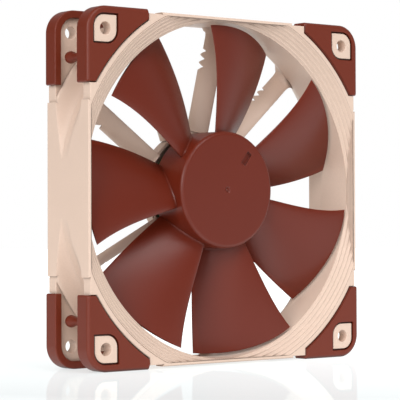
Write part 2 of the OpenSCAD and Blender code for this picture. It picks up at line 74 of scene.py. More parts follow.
def box_mm(node):
    """Highest corner of a node in the fan's frame, with its rear as a positive depth."""
    low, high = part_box(node)
    return high.x / MM, high.z / MM, -low.y / MM, high.y / MM


HALF = cad_box[1].x / MM
FACE = cad_box[1].y / MM
FRAME_HALF, _, _, RIM = box_mm("frame_shroud")
SEAT_HALF, _, BOSS, _ = box_mm("screw_flanges")
BASE_R = box_mm("motor_base")[0]
HUB_FRONT = box_mm("impeller")[2]
LABEL_R = box_mm("rear_label")[0]
SCREW_DIMS = frame["record"]["mounts"][0]["dims"]
SCREW = SCREW_DIMS["spacing_x_mm"] / 2
SCREW_R = SCREW_DIMS["hole_r_mm"]

# ---------------------------------------------------------------- sizes repeated from the part, in mm

RING_R = 66.0
BORE_R = 58.0
SIDE_FACE_HALF = 29.0
BELL_HALF = 58.2
INLET_R = 64.2
INLET_DEPTH = 3.6
INLET_STEPS = 5
OUTLET_R = 62.7
OUTLET_START = -4.0
FLANGE_IN = 8.0
SEAT = 10.9
BOSS_SIZE = 9.0
BOSS_CORNER = 4.0
PAD_CORNER = 8.0
WAIST = [
    (66.2, 8.0), (64.8, 7.2), (63.4, 5.4), (62.1, 2.6), (60.9, 0.6), (60.3, -0.4),
    (60.1, -3.2), (60.5, -4.0), (61.6, -5.0), (63.4, -6.0), (66.2, -7.2), (66.3, -8.0),
]
VANE_ANGLES = [41.9, 76.6, 110.4, 144.3, 175.9, 207.4, 239.8, 272.2, 304.6, 337.1, 369.5]
LEAD_VANE = VANE_ANGLES[9]
VANE_THICKNESS = 1.7
VANE_FRONT = -6.0
VANE_REAR = -12.0
VANE_LEAN = 5.0
NOTCH_ROOTS = [44.25, 47.18, 50.11]
NOTCH_INNER = 1.05
NOTCH_OUTER = 1.5
NOTCH_DEPTH = 2.2
RECESS = (51.2, 56.5)
RECESS_DEPTH = 0.8
BASE_FRONT = -7.8
LEAD_NOTCH_W = 6.0
LEAD_NOTCH_GAP = 1.3
BASE_WALL = 1.4
BASE_FLOOR = -10.6
LABEL_DEPTH = 0.35
POST_R = 5.0
POST_FRONT = 5.0
SHELL_R = 4.0
HUB_R = 20.2
HUB_REAR = -4.6
HUB_WALL = 1.6
HUB_CAP = 1.8
HUB_EDGE = 1.4
BUSH_R = 3.6
BUSH_FRONT = 8.8
HUB_BOSS_R = 6.0
HUB_BOSS_Z = 5.8
TIP_R = 57.0
BLADES = 7
FIRST_BLADE = 44.1
PAD_LENGTH = 25.3
PAD_DEPTH = 6.3
PAD_LIP = 2.6
PAD_ARC_R = 66.25
BOSS_PLAY = 0.1
WINDOW_SIZE = 10.1
WINDOW_FLOOR = 11.2
NUB_SIDE = 55.5
NUB_ALONG = 43.8
NUB_NECK_R = 1.5
NUB_PLAY = 0.1
NUB_BARB_R = 1.75
NUB_STALK = [
    (1.35, 6.4), (1.3, 3.4), (1.3, 0.6), (1.42, -0.8), (1.8, -2.0),
    (2.08, -3.2), (1.92, -4.3), (1.2, -5.1), (0.0, -5.4),
]

# ---------------------------------------------------------------- mesh helpers


def row(x, y, z):
    """Point of the fan's frame, in mm, as a point of the row frame, in metres."""
    return (x * MM, -z * MM, y * MM)


def polar(radius, degrees):
    angle = math.radians(degrees)
    return (radius * math.cos(angle), radius * math.sin(angle))


def solid(name, loops, ring=False):
    """Closed mesh through loops of equally many points: a ring joins the last loop to the first."""
    count = len(loops[0])
    points = [row(*point) for loop in loops for point in loop]
    faces = []
    for a in range(len(loops) if ring else len(loops) - 1):
        b = (a + 1) % len(loops)
        for i in range(count):
            j = (i + 1) % count
            faces.append((a * count + i, a * count + j, b * count + j, b * count + i))
    if not ring:
        faces.append(tuple(range(count)))
        faces.append(tuple(range(len(points) - count, len(points))))
    mesh = bpy.data.meshes.new(name)
    mesh.from_pydata(points, [], faces)
    work = bmesh.new()
    work.from_mesh(mesh)
    bmesh.ops.remove_doubles(work, verts=work.verts, dist=0.002 * MM)
    bmesh.ops.recalc_face_normals(work, faces=work.faces)
    work.to_mesh(mesh)
    work.free()
    piece = bpy.data.objects.new(name, mesh)
    bpy.context.collection.objects.link(piece)
    return piece


def lathe(name, profile, steps=96, centre=(0.0, 0.0)):
    """Solid of revolution round a line along z, from a closed profile of (radius, z) points."""
    loops = []
    for radius, z in profile:
        circle = [polar(radius, 360 * i / steps) for i in range(steps)]
        loops.append([(centre[0] + x, centre[1] + y, z) for x, y in circle])
    return solid(name, loops, ring=True)


def prism(name, outline, levels):
    """Solid whose section at each (inset, z) of levels is outline(inset)."""
    return solid(name, [[(x, y, z) for x, y in outline(inset)] for inset, z in levels])


def quarter(radius, z, rise, steps=5):
    """Levels that round a prism's edge at z; rise is 1 where the prism ends upward and -1 downward."""
    turns = [math.pi / 2 * i / steps for i in range(steps + 1)]
    levels = [(radius * (1 - math.cos(a)), z - rise * radius * (1 - math.sin(a))) for a in turns]
    return levels if rise > 0 else levels[::-1]


def combine(base, tool, operation):
    """Joins, cuts or crosses base with tool, and leaves the result on base."""
    step = base.modifiers.new("combine", "BOOLEAN")
    step.operation = operation
    step.solver = "MANIFOLD"
    step.object = tool
    graph = bpy.context.evaluated_depsgraph_get()
    base.data = bpy.data.meshes.new_from_object(base.evaluated_get(graph))
    base.modifiers.clear()
    bpy.data.objects.remove(tool)
    return base


def gather(name, pieces):
    """One object from pieces that don't touch each other."""
    work = bmesh.new()
    for piece in pieces:
        work.from_mesh(piece.data)
        bpy.data.objects.remove(piece)
    mesh = bpy.data.meshes.new(name)
    work.to_mesh(mesh)
    work.free()
    whole = bpy.data.objects.new(name, mesh)
    bpy.context.collection.objects.link(whole)
    return whole


def mirrored(piece, name, right, top, intake):
    """Copy of a shape of the top right intake corner at another corner.

    An exhaust corner is the intake corner turned over about the fan's diagonal.
    """
    flip = Matrix.Diagonal((1 if right else -1, 1 if intake else -1, 1 if top else -1, 1))
    if not intake:
        flip = flip @ Matrix(((0, 0, 1, 0), (0, 1, 0, 0), (1, 0, 0, 0), (0, 0, 0, 1)))
    mesh = piece.data.copy()
    mesh.transform(flip)
    if flip.determinant() < 0:
        mesh.flip_normals()
    mesh.name = name
    copy = bpy.data.objects.new(name, mesh)
    bpy.context.collection.objects.link(copy)
    return copy


def finish_shading(piece, material, angle=32):
    """Smooth faces with crisp edges, flat faces kept flat, and the piece's material."""
    piece.data.shade_smooth()
    piece.data.set_sharp_from_angle(angle=math.radians(angle))
    weighted = piece.modifiers.new("even_normals", "WEIGHTED_NORMAL")
    weighted.keep_sharp = True
    piece.data.materials.clear()
    piece.data.materials.append(material)


def rounded(path, steps=5):
    """Outline through (x, y, radius) corners, each rounded by its radius."""
    outline = []
    for i, (x, y, radius) in enumerate(path):
        here = Vector((x, y))
        if radius <= 0:
            outline.append((x, y))
            continue
        to_last = (Vector(path[i - 1][:2]) - here).normalized()
        to_next = (Vector(path[(i + 1) % len(path)][:2]) - here).normalized()
        half = to_last.angle(to_next) / 2
        centre = here + (to_last + to_next).normalized() * radius / math.sin(half)
        start = here + to_last * radius / math.tan(half) - centre
        end = here + to_next * radius / math.tan(half) - centre
        sweep = start.angle_signed(end)
        for k in range(steps + 1):
            turn = Matrix.Rotation(-sweep * k / steps, 2)
            outline.append(tuple(centre + turn @ start))
    return outline


def corner_outline(half, corner_r, arc_r, start, edge_r=0.0, steps=24):
    """Outline of a corner piece: the square's corner, with the ring's arc cut out of it."""
    reach = math.sqrt(arc_r ** 2 - start ** 2)
    first = math.degrees(math.asin(start / arc_r))
    turn = (90 - 2 * first) / steps
    arc = [polar(arc_r, first + turn * i) + (0.0,) for i in range(1, steps)]
    corner = rounded([(start, half, 0.0), (half, half, corner_r), (half, start, 0.0)], 16)[1:-1]
    path = [(start, half, edge_r)] + [(x, y, 0.0) for x, y in corner]
    path += [(half, start, edge_r), (reach, start, edge_r / 2)] + arc
    return rounded(path + [(start, reach, edge_r / 2)])


def leaf_outline(size, corner_r, sharp_r=0.25):
    """Leaf round the top right screw hole: round on the fan's diagonal, nearly square off it."""
    h = size / 2
    path = [(-h, -h, corner_r), (h, -h, sharp_r), (h, h, corner_r), (-h, h, sharp_r)]
    return [(SCREW + x, SCREW + y) for x, y in rounded(path, 12)]


def smooth_curve(points, steps=4):
    """Curve through points, with steps pieces between each two."""
    padded = [points[0]] + points + [points[-1]]
    curve = []
    for i in range(1, len(padded) - 2):
        p0, p1, p2, p3 = (Vector(p) for p in padded[i - 1:i + 3])
        for k in range(steps):
            t = k / steps
            near = 2 * p1 + (p2 - p0) * t
            far = (2 * p0 - 5 * p1 + 4 * p2 - p3) * t ** 2 + (3 * p1 - p0 - 3 * p2 + p3) * t ** 3
            curve.append(tuple((near + far) / 2))
    return curve + [points[-1]]


def fillet(distance, radius):
    """How far a concave fillet of that radius stands out, at a distance from the wall it meets."""
    gap = max(0.0, radius - distance)
    return radius - math.sqrt(max(0.0, radius ** 2 - min(gap, radius) ** 2))


# ---------------------------------------------------------------- frame moulding

EDGE_R = 0.45
# Height of the inlet's waves, where 1 makes the treads flat and more tilts them back
RIPPLE = 1.7
WALL_BLEND = 3.6
WALL_OVERLAP = 0.6
# The ends of the vanes stop inside the thin walls at the middle of each side
VANE_LIMIT = 58.8
BASE_BLEND = 0.8
SHOULDER_INSET = 0.6
SHOULDER_PLAY = 0.1
RING_OVERLAP = 1.2


def square_limit(half, degrees):
    """Distance from the axis to a square's side, in that direction."""
    angle = math.radians(degrees)
    return half / max(abs(math.cos(angle)), abs(math.sin(angle)))


def outer_limit(degrees):
    """Outer faces of the ring: full width in the middle of each side, recessed seats beyond."""
    off_middle = abs((degrees + 45) % 90 - 45)
    on_face = math.tan(math.radians(off_middle)) * FRAME_HALF <= SIDE_FACE_HALF
    return square_limit(FRAME_HALF if on_face else SEAT_HALF, degrees)


def outer_section():
    """Outer side of the ring's section, front to rear, as (radius, z, inset)."""
    section = [(RING_R, z, inset) for inset, z in quarter(EDGE_R, RIM, 1)][::-1]
    waist = [(r, z) for r, z in smooth_curve(WAIST) if r < RING_R]
    section += [(RING_R, FLANGE_IN + 0.2, 0.0)]
    section += [(r, z, 0.0) for r, z in waist]
    section += [(RING_R, -FLANGE_IN + 0.7, 0.0)]
    section += [(RING_R, z, inset) for inset, z in quarter(EDGE_R, -RIM, -1)][::-1]
    return section


def inner_section():
    """Inner side of the ring's section, rear to front: outlet bell, bore and stepped inlet bell."""
    section = [(OUTLET_R, z, inset) for inset, z in quarter(EDGE_R / 2, -RIM, -1)]
    flare = 10
    for i in range(1, flare + 1):
        share = i / flare
        radius = BORE_R + (OUTLET_R - BORE_R) * (1 - share) ** 1.25
        section.append((radius, -RIM + EDGE_R / 2 + (OUTLET_START + RIM - EDGE_R / 2) * share, 0.0))
    section.append((BORE_R, 2.0, 0.0))
    per_step = 8
    for i in range(INLET_STEPS * per_step):
        share = i / (INLET_STEPS * per_step)
        wave = RIPPLE * math.sin(2 * math.pi * INLET_STEPS * share) / (2 * math.pi * INLET_STEPS)
        radius = BORE_R + (INLET_R - BORE_R) * share
        section.append((radius, RIM - INLET_DEPTH * (1 - share + wave), 0.0))
    section += [(INLET_R, z, inset) for inset, z in quarter(EDGE_R / 2, RIM, 1)]
    return section


def shroud_ring():
    """Ring round the opening, trimmed to the frame's square outside and inside."""
    step_angle = math.degrees(math.atan(SIDE_FACE_HALF / FRAME_HALF))
    stations = {round(0.75 * i, 4) for i in range(480)}
    for side in range(4):
        for turn in (step_angle - 0.02, step_angle + 0.02):
            stations |= {round((90 * side + turn) % 360, 4), round((90 * side - turn) % 360, 4)}
    outer = outer_section()
    inner = inner_section()
    loops = []
    for degrees in sorted(stations):
        outside = outer_limit(degrees)
        inside = square_limit(BELL_HALF, degrees)
        loop = [(min(r, outside) - inset, z) for r, z, inset in outer]
        loop += [(min(r, inside) + inset, z) for r, z, inset in inner]
        loops.append([polar(r, degrees) + (z,) for r, z in loop])
    return solid("frame_moulding", loops, ring=True)


def shoulder(swap):
    """Full-depth shoulder of the flange, between the side face and the end of the pad."""
    start = SIDE_FACE_HALF + SHOULDER_INSET
    end = HALF - PAD_LENGTH - SHOULDER_PLAY
    inside = RING_R - RING_OVERLAP

    def outline(inset):
        low = [math.sqrt(inside ** 2 - x ** 2) for x in (end, start)]
        points = [(start, SEAT_HALF - inset), (end - inset, SEAT_HALF - inset)]
        points += [(end - inset, low[0]), (start, low[1])]
        return [(y, x) for x, y in points] if swap else points

    return prism("shoulder", outline, [(0.0, FLANGE_IN + 0.5)] + quarter(0.25, RIM, 1))


def screw_flange():
    """Flange of the top right intake corner, with its shoulders, its boss and its holes."""
    start = SIDE_FACE_HALF + SHOULDER_INSET

    def plate(inset):
        half = SEAT_HALF - inset
        return corner_outline(half, PAD_CORNER - HALF + half, RING_R - RING_OVERLAP, start)

    flange = prism("flange", plate, quarter(0.3, FLANGE_IN, -1) + quarter(0.25, SEAT, 1))
    boss = prism(
        "boss", lambda inset: leaf_outline(BOSS_SIZE - 2 * inset, BOSS_CORNER - inset),
        [(0.0, SEAT - CUT)] + quarter(0.2, BOSS, 1),
    )
    for piece in (boss, shoulder(False), shoulder(True)):
        combine(flange, piece, "UNION")
    chamfer = 0.12
    hole = lathe("hole", [
        (0, FLANGE_IN - CUT), (SCREW_R + chamfer + CUT, FLANGE_IN - CUT), (SCREW_R, FLANGE_IN + chamfer),
        (SCREW_R, BOSS - chamfer), (SCREW_R + chamfer + CUT, BOSS + CUT), (0, BOSS + CUT),
    ], 48, (SCREW, SCREW))
    combine(flange, hole, "DIFFERENCE")
    radius = NUB_NECK_R + NUB_PLAY
    profile = [(0, FLANGE_IN - CUT), (radius, FLANGE_IN - CUT), (radius, SEAT + CUT), (0, SEAT + CUT)]
    return combine(flange, lathe("hole", profile, 32, (NUB_SIDE, NUB_ALONG)), "DIFFERENCE")


def wall_radius(degrees, z):
    """Radius of the air passage's wall behind the impeller."""
    share = min(1.0, max(0.0, (OUTLET_START - z) / (OUTLET_START + RIM)))
    flare = BORE_R + (OUTLET_R - BORE_R) * share ** 1.25
    return min(flare, square_limit(BELL_HALF, degrees))


def vane_rear(radius):
    """Height of a vane's trailing edge, with its pointed notches and the recess outside them."""
    cut = 0.0
    for root in NOTCH_ROOTS:
        flank = NOTCH_INNER if radius < root else NOTCH_OUTER
        cut = max(cut, NOTCH_DEPTH * (1 - abs(radius - root) / flank))
    if RECESS[0] <= radius <= RECESS[1]:
        cut = max(cut, RECESS_DEPTH)
    return VANE_REAR + cut


def guide_vane(degrees):
    """One vane from inside the base's wall to inside the ring's wall."""
    chord = 26
    overlap = 0.25
    stations = {BASE_R - overlap} | {BASE_R + 0.3 * i for i in range(4)}
    stations |= {BASE_R + 0.9 + 0.8 * i for i in range(1, 48)}
    for root in NOTCH_ROOTS:
        stations |= {root - NOTCH_INNER, root - NOTCH_INNER - 0.12, root, root + NOTCH_OUTER}
    stations |= {RECESS[0] - 0.05, RECESS[0]}
    reach = [(r, 0.0) for r in sorted(s for s in stations if s < BORE_R - WALL_BLEND)]
    reach += [(BORE_R, -WALL_BLEND * (1 - i / 10) ** 1.5) for i in range(10)] + [(BORE_R, WALL_OVERLAP)]
    loops = []
    for radius, to_wall in reach:
        sides = ([], [])
        for i in range(chord + 1):
            s = (1 - math.cos(math.pi * i / chord)) / 2
            z = VANE_FRONT + s * (vane_rear(radius + to_wall) - VANE_FRONT)
            depth = (VANE_FRONT - z) / (VANE_FRONT - VANE_REAR)
            side = VANE_LEAN * math.sin(math.pi / 2 * depth)
            along = radius
            wall = BORE_R
            for _ in range(3 if to_wall or radius > BORE_R - 2 * WALL_BLEND else 0):
                wall = wall_radius(degrees + math.degrees(math.atan2(side, along)), z)
                along = math.sqrt((wall + to_wall) ** 2 - side ** 2) if to_wall else along
            centre_r = math.hypot(along, side)
            place = min(1.0, 0.12 + 0.88 * depth)
            half = VANE_THICKNESS / 2 * (0.42 + 0.58 * math.sin(math.pi * place))
            at_wall = fillet(max(0.0, wall - centre_r), WALL_BLEND)
            half += at_wall + fillet(max(0.0, centre_r - BASE_R), BASE_BLEND)
            half *= math.sqrt(max(0.0, 1 - (1 - min(1.0, 7 * s * (1 - s))) ** 2)) if 0 < s < 1 else 0.0
            for turn, points in zip((-1, 1), sides):
                x, y = along, side + turn * half
                angle = math.radians(degrees)
                end = (x * math.cos(angle) - y * math.sin(angle), x * math.sin(angle) + y * math.cos(angle))
                points.append(tuple(max(-VANE_LIMIT, min(VANE_LIMIT, value)) for value in end) + (z,))
        loops.append(sides[0] + sides[1][-2:0:-1])
    return solid("vane", loops)


def motor_base():
    """Cup behind the hub: rounded rim, recess for the label, and the bearing's post."""
    edge = 0.6
    profile = [(0, -RIM + LABEL_DEPTH), (LABEL_R + 0.1, -RIM + LABEL_DEPTH), (LABEL_R + 0.1, -RIM + 0.1)]
    profile += [(LABEL_R + 0.2, -RIM)]
    profile += [(BASE_R - inset, z) for inset, z in quarter(edge, -RIM, -1)]
    profile += [(BASE_R - inset, z) for inset, z in quarter(0.3, BASE_FRONT, 1, 3)]
    profile += [(BASE_R - BASE_WALL + 0.3, BASE_FRONT), (BASE_R - BASE_WALL, BASE_FRONT - 0.3)]
    profile += [(BASE_R - BASE_WALL, BASE_FLOOR), (POST_R, BASE_FLOOR), (POST_R, POST_FRONT - 0.2)]
    profile += [(POST_R - 0.2, POST_FRONT), (SHELL_R, POST_FRONT), (SHELL_R, BASE_FLOOR + 0.1)]
    profile += [(0, BASE_FLOOR + 0.1)]
    return lathe("base", profile, 192)


def block(name, low, high):
    """Plain cutting block between two corners."""
    levels = [(0.0, low[2]), (0.0, high[2])]
    outline = [(low[0], low[1]), (high[0], low[1]), (high[0], high[1]), (low[0], high[1])]
    return prism(name, lambda inset: outline, levels)


def frame_moulding(material):
    """Ring, flanges, vanes and motor base as the one moulding that they are."""
    moulding = shroud_ring()
    flange = screw_flange()
    corners = [(x, y, z) for x in (False, True) for y in (False, True) for z in (False, True)]
    flanges = [mirrored(flange, "flange", *corner) for corner in corners]
    bpy.data.objects.remove(flange)
    combine(moulding, gather("outside", flanges), "UNION")
    combine(moulding, gather("inside", [guide_vane(angle) for angle in VANE_ANGLES]), "UNION")
    combine(moulding, motor_base(), "UNION")
    vane_y = BELL_HALF * math.tan(math.radians(LEAD_VANE))
    low = (BORE_R - 4, vane_y - LEAD_NOTCH_GAP - LEAD_NOTCH_W, -FACE - CUT)
    high = (HALF + CUT, vane_y - LEAD_NOTCH_GAP, -FLANGE_IN)
    combine(moulding, block("notch", low, high), "DIFFERENCE")
    finish_shading(moulding, material)
    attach(moulding, "frame")
    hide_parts("frame_shroud", "screw_flanges", "guide_vanes", "motor_base")


# ---------------------------------------------------------------- corner pads

PAD_EDGE = 1.2
# How far the lip's opening is cut past the pad's ends
LIP_OVERCUT = 3


def pad_shape():
    """Soft pad of the top right intake corner: cap, side walls, lip, stepped window and nub."""
    start = HALF - PAD_LENGTH
    rear = FACE - PAD_DEPTH
    wall = HALF - SEAT_HALF

    def shell(inset):
        small = min(inset, 0.35)
        return corner_outline(HALF - inset, PAD_CORNER - inset, PAD_ARC_R + small, start + small, 0.5)

    pad = prism("pad", shell, quarter(0.4, rear, -1) + quarter(PAD_EDGE, FACE, 1, 8))

    def channel(inset):
        return corner_outline(SEAT_HALF, PAD_CORNER - wall, PAD_ARC_R - 2 * CUT, start - 2 * CUT)

    combine(pad, prism("channel", channel, [(0, FLANGE_IN), (0, SEAT)]), "DIFFERENCE")

    def lip(inset):
        corner_r = PAD_CORNER - PAD_LIP + inset
        arc_r = PAD_ARC_R - LIP_OVERCUT
        return corner_outline(HALF - PAD_LIP + inset, corner_r, arc_r, start - LIP_OVERCUT)

    levels = [(0.35 + CUT, rear - CUT), (0.35, rear), (0.12, rear + 0.12), (0.0, rear + 0.4)]
    levels += [(0.0, FLANGE_IN + 0.02)]
    combine(pad, prism("lip", lip, levels), "DIFFERENCE")

    def window(inset):
        return leaf_outline(BOSS_SIZE + 2 * (BOSS_PLAY + inset), BOSS_CORNER + BOSS_PLAY + inset)

    step = (WINDOW_SIZE - BOSS_SIZE) / 2 - BOSS_PLAY
    levels = [(0.0, SEAT - CUT), (0.0, WINDOW_FLOOR), (step, WINDOW_FLOOR), (step, FACE - 0.2)]
    levels += [(step + 0.06, FACE - 0.06), (step + 0.2, FACE), (step + 0.2 + CUT, FACE + CUT)]
    combine(pad, prism("window", window, levels), "DIFFERENCE")
    nub = [(0, SEAT + 0.3), (NUB_NECK_R, SEAT + 0.3), (NUB_NECK_R, FLANGE_IN)]
    nub += [(NUB_BARB_R, FLANGE_IN - 0.4), (NUB_BARB_R, FLANGE_IN - 0.9)] + smooth_curve(NUB_STALK)
    return combine(pad, lathe("nub", nub, 40, (NUB_SIDE, NUB_ALONG)), "UNION")


def corner_pads(material):
    """The eight pads, all mirrored from one."""
    pad = pad_shape()
    for intake in (True, False):
        for top in (True, False):
            for right in (True, False):
                words = ("intake" if intake else "exhaust", "top" if top else "bottom")
                place = "_".join(words + ("right" if right else "left",))
                copy = mirrored(pad, "soft_pad_" + place, right, top, intake)
                finish_shading(copy, material, 35)
                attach(copy, "frame")
                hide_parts("pad_" + place)
    bpy.data.objects.remove(pad)


# ---------------------------------------------------------------- impeller


def blade_section(t, s):
    """Angle, middle height and half thickness of a blade: t along its span, s along its chord."""
    lead = FIRST_BLADE + 0.5 * t - 8 * t * (1 - t)
    trail = FIRST_BLADE - 43.6 + 7.3 * t
    lead_z = 6.4 + 4.6 * t - 1.9 * t * t
    trail_z = -2.05 - 1.65 * (1 - 1.5 * t) ** 2
    camber = 4 * (1.7 + 0.6 * t) * s * (1 - s)
    half = (1.25 - 0.65 * t) * math.sin(math.pi * s ** 0.7) ** 0.6 if 0 < s < 1 else 0.0
    return lead + s * (trail - lead), lead_z + s * (trail_z - lead_z) + camber, half


def blade(turn):
    """One blade, from inside the skirt's wall to its rounded tip."""
    chord = 36
    root_r = HUB_R - 0.8
    span = TIP_R - root_r
    stations = [(root_r + 0.35 * i, 1.0) for i in range(9)]
    stations += [(root_r + 3 + (span - 3.2) * i / 30, 1.0) for i in range(1, 31)]
    stations += [(TIP_R - 0.1, 0.85), (TIP_R - 0.03, 0.6), (TIP_R, 0.3)]
    loops = []
    for radius, share in stations:
        t = (radius - root_r) / span
        sides = ([], [])
        for i in range(chord + 1):
            s = (1 - math.cos(math.pi * i / chord)) / 2
            angle, middle, half = blade_section(t, s)
            if 0 < s < 1:
                half += fillet(max(0.0, radius - HUB_R), 0.6) * min(1.0, 5 * s * (1 - s))
            for side, points in zip((1, -1), sides):
                points.append(polar(radius, angle + turn) + (middle + side * share * half,))
        loops.append(sides[0] + sides[1][-2:0:-1])
    return solid("blade", loops)


POCKET_LENGTH = 5.0
POCKET_WIDTH = 2.3
POCKET_DEPTH = 0.9
POCKET_CORNER_R = 0.4
POCKET_PLACE = 13.8
POCKET_ANGLE = 52
# Section of the gate mark, as radius and depth below the hub's face
GATE_MARK = [(0, 0.01), (0.42, 0.06), (0.62, 0.28), (0.78, 0.28)]
GATE_R = 1.2


def impeller(material):
    """Hub cup with its blades, balancing pocket and gate mark."""
    inner = HUB_R - HUB_WALL
    cap = HUB_FRONT - HUB_CAP
    profile = [(0, HUB_FRONT)]
    profile += [(HUB_R - inset, z) for inset, z in quarter(HUB_EDGE, HUB_FRONT, 1, 8)][::-1]
    profile += [(HUB_R - inset, z) for inset, z in quarter(0.5, HUB_REAR, -1)][::-1]
    profile += [(inner, HUB_REAR), (inner, cap)]
    profile += [(HUB_BOSS_R, cap), (HUB_BOSS_R, HUB_BOSS_Z), (BUSH_R, HUB_BOSS_Z)]
    profile += [(BUSH_R, BUSH_FRONT), (0, BUSH_FRONT)]
    hub = lathe("fan_impeller", profile, 192)
    blades = [blade(360 / BLADES * i) for i in range(BLADES)]
    combine(hub, gather("blades", blades), "UNION")

    def pocket(inset):
        a, b = POCKET_LENGTH / 2 + inset, POCKET_WIDTH / 2 + inset
        path = [(x, y, POCKET_CORNER_R) for x, y in ((-a, -b), (a, -b), (a, b), (-a, b))]
        turn = Matrix.Rotation(math.radians(POCKET_ANGLE), 2)
        return [tuple(turn @ Vector((POCKET_PLACE + x, y))) for x, y in rounded(path)]

    floor = HUB_FRONT - POCKET_DEPTH
    levels = [(-0.15, floor), (0, floor + 0.15), (0, HUB_FRONT - 0.12)]
    levels += [(0.12, HUB_FRONT), (0.12 + CUT, HUB_FRONT + CUT)]
    combine(hub, prism("pocket", pocket, levels), "DIFFERENCE")
    gate = [(radius, HUB_FRONT - deep) for radius, deep in GATE_MARK]
    gate += [(GATE_R, HUB_FRONT), (GATE_R + CUT, HUB_FRONT + CUT), (0, HUB_FRONT + CUT)]
    combine(hub, lathe("gate", gate, 32), "DIFFERENCE")
    finish_shading(hub, material)
    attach(hub, "rotor")
    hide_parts("impeller")


# ---------------------------------------------------------------- materials


class Shader:
    """A material's node tree, with short calls for the nodes that the finishes share."""

    def __init__(self, name):
        self.material = bpy.data.materials.new(name)
        self.material.use_nodes = True
        self.tree = self.material.node_tree
        self.surface = self.tree.nodes["Principled BSDF"]
        self.place = self.node("ShaderNodeTexCoord").outputs["Object"]

    def node(self, kind, **settings):
        made = self.tree.nodes.new(kind)
        for key, value in settings.items():
            setattr(made, key, value)
        return made

    def link(self, source, target):
        self.tree.links.new(source, target)

    def noise(self, size, detail=3.0, place=None):
        """Noise with features of about size metres, from 0 to 1."""
        made = self.node("ShaderNodeTexNoise")
        made.inputs["Scale"].default_value = 1 / size
        made.inputs["Detail"].default_value = detail
        self.link(place or self.place, made.inputs["Vector"])
        return made.outputs["Fac"]

    def span(self, value, low, high, start=0.3, end=0.7):
        """Value stretched from start..end to low..high."""
        made = self.node("ShaderNodeMapRange")
        self.link(value, made.inputs["Value"])
        for key, number in (("From Min", start), ("From Max", end), ("To Min", low), ("To Max", high)):
            made.inputs[key].default_value = number
        return made.outputs["Result"]

    def blend(self, share, one, two):
        """Colour between one and two, each a colour or another node's output."""
        made = self.node("ShaderNodeMix", data_type="RGBA")
        self.link(share, made.inputs[0])
        for socket, colour in ((made.inputs[6], one), (made.inputs[7], two)):
            if isinstance(colour, tuple):
                socket.default_value = (*colour, 1)
            else:
                self.link(colour, socket)
        return made.outputs[2]

    def math(self, operation, one, two):
        made = self.node("ShaderNodeMath", operation=operation)
        for socket, value in zip(made.inputs, (one, two)):
            if isinstance(value, (int, float)):
                socket.default_value = value
            else:
                self.link(value, socket)
        return made.outputs[0]

    def edges(self, width):
        """0 on faces and 1 on outer edges, over that width in metres: the mask for the painted edge
        highlight.
        """
        reach = self.node("ShaderNodeAmbientOcclusion", inside=True, only_local=True, samples=8)
        reach.inputs["Distance"].default_value = width
        return self.span(reach.outputs["AO"], 1, 0, 0.55, 0.9)

    def hollow_shade_mask(self, reach):
        """0 on open faces and 1 deep inside gaps and corners, within that reach in metres: the mask for
        painted shade.
        """
        made = self.node("ShaderNodeAmbientOcclusion", samples=8)
        made.inputs["Distance"].default_value = reach
        return self.span(made.outputs["AO"], 1, 0, 0.15, 0.95)

    def bump(self, height, depth, strength=1.0):
        """Surface relief of that depth, in metres."""
        made = self.node("ShaderNodeBump")
        made.inputs["Distance"].default_value = depth
        made.inputs["Strength"].default_value = strength
        self.link(height, made.inputs["Height"])
        self.link(made.outputs["Normal"], self.surface.inputs["Normal"])


def shade(colour, factor):
    return tuple(channel * factor for channel in colour)


# Width of the painted highlight on edges, and reach of the painted shade in hollows, in metres
EDGE_HIGHLIGHT_WIDTH = 0.0004
HOLLOW_REACH = 0.0014


def moulded(name, colour, roughness, grain, relief, edge_highlight=1.12, specular=0.5, hollow_shade=0.45):
    """Moulded plastic or rubber: cloudy tone, fine grain, edges lightened as a painted highlight and
    hollows darkened as painted shade.
    """
    look = Shader(name)
    cloud = look.noise(0.018)
    fine = look.noise(grain, 2.0)
    toned = look.blend(look.span(cloud, 0, 1), shade(colour, 0.96), shade(colour, 1.04))
    grained = look.blend(look.span(fine, 0, 1), shade(colour, 0.97), toned)
    # Painted highlight: outer edges lighter, in patches
    edge_highlight_patches = look.math("MULTIPLY", look.edges(EDGE_HIGHLIGHT_WIDTH), look.span(cloud, 0.35, 0.8))
    edge_highlighted = look.blend(edge_highlight_patches, grained, shade(colour, edge_highlight))
    # Painted shade: the colour darkens deep in gaps and corners
    shaded_hollows = look.blend(look.hollow_shade_mask(HOLLOW_REACH), edge_highlighted, shade(colour, hollow_shade))
    look.link(shaded_hollows, look.surface.inputs["Base Color"])
    rough = look.span(fine, roughness - 0.04, roughness + 0.05)
    look.link(rough, look.surface.inputs["Roughness"])
    look.surface.inputs["Specular IOR Level"].default_value = specular
    look.bump(fine, relief)
    return look


def metal(name, colour, roughness, grain):
    """Bare or coated metal with fine irregular grain."""
    look = Shader(name)
    fine = look.noise(grain, 4.0)
    cloud = look.noise(0.006)
    toned = look.blend(look.span(cloud, 0, 1), shade(colour, 0.85), shade(colour, 1.08))
    look.link(toned, look.surface.inputs["Base Color"])
    look.link(look.span(fine, roughness - 0.08, roughness + 0.1), look.surface.inputs["Roughness"])
    look.surface.inputs["Metallic"].default_value = 1.0
    look.bump(fine, 0.00001)
    return look


BEIGE = (0.668, 0.500, 0.402)
BROWN = (0.131, 0.0145, 0.0045)
PAD_BROWN = (0.150, 0.0195, 0.006)


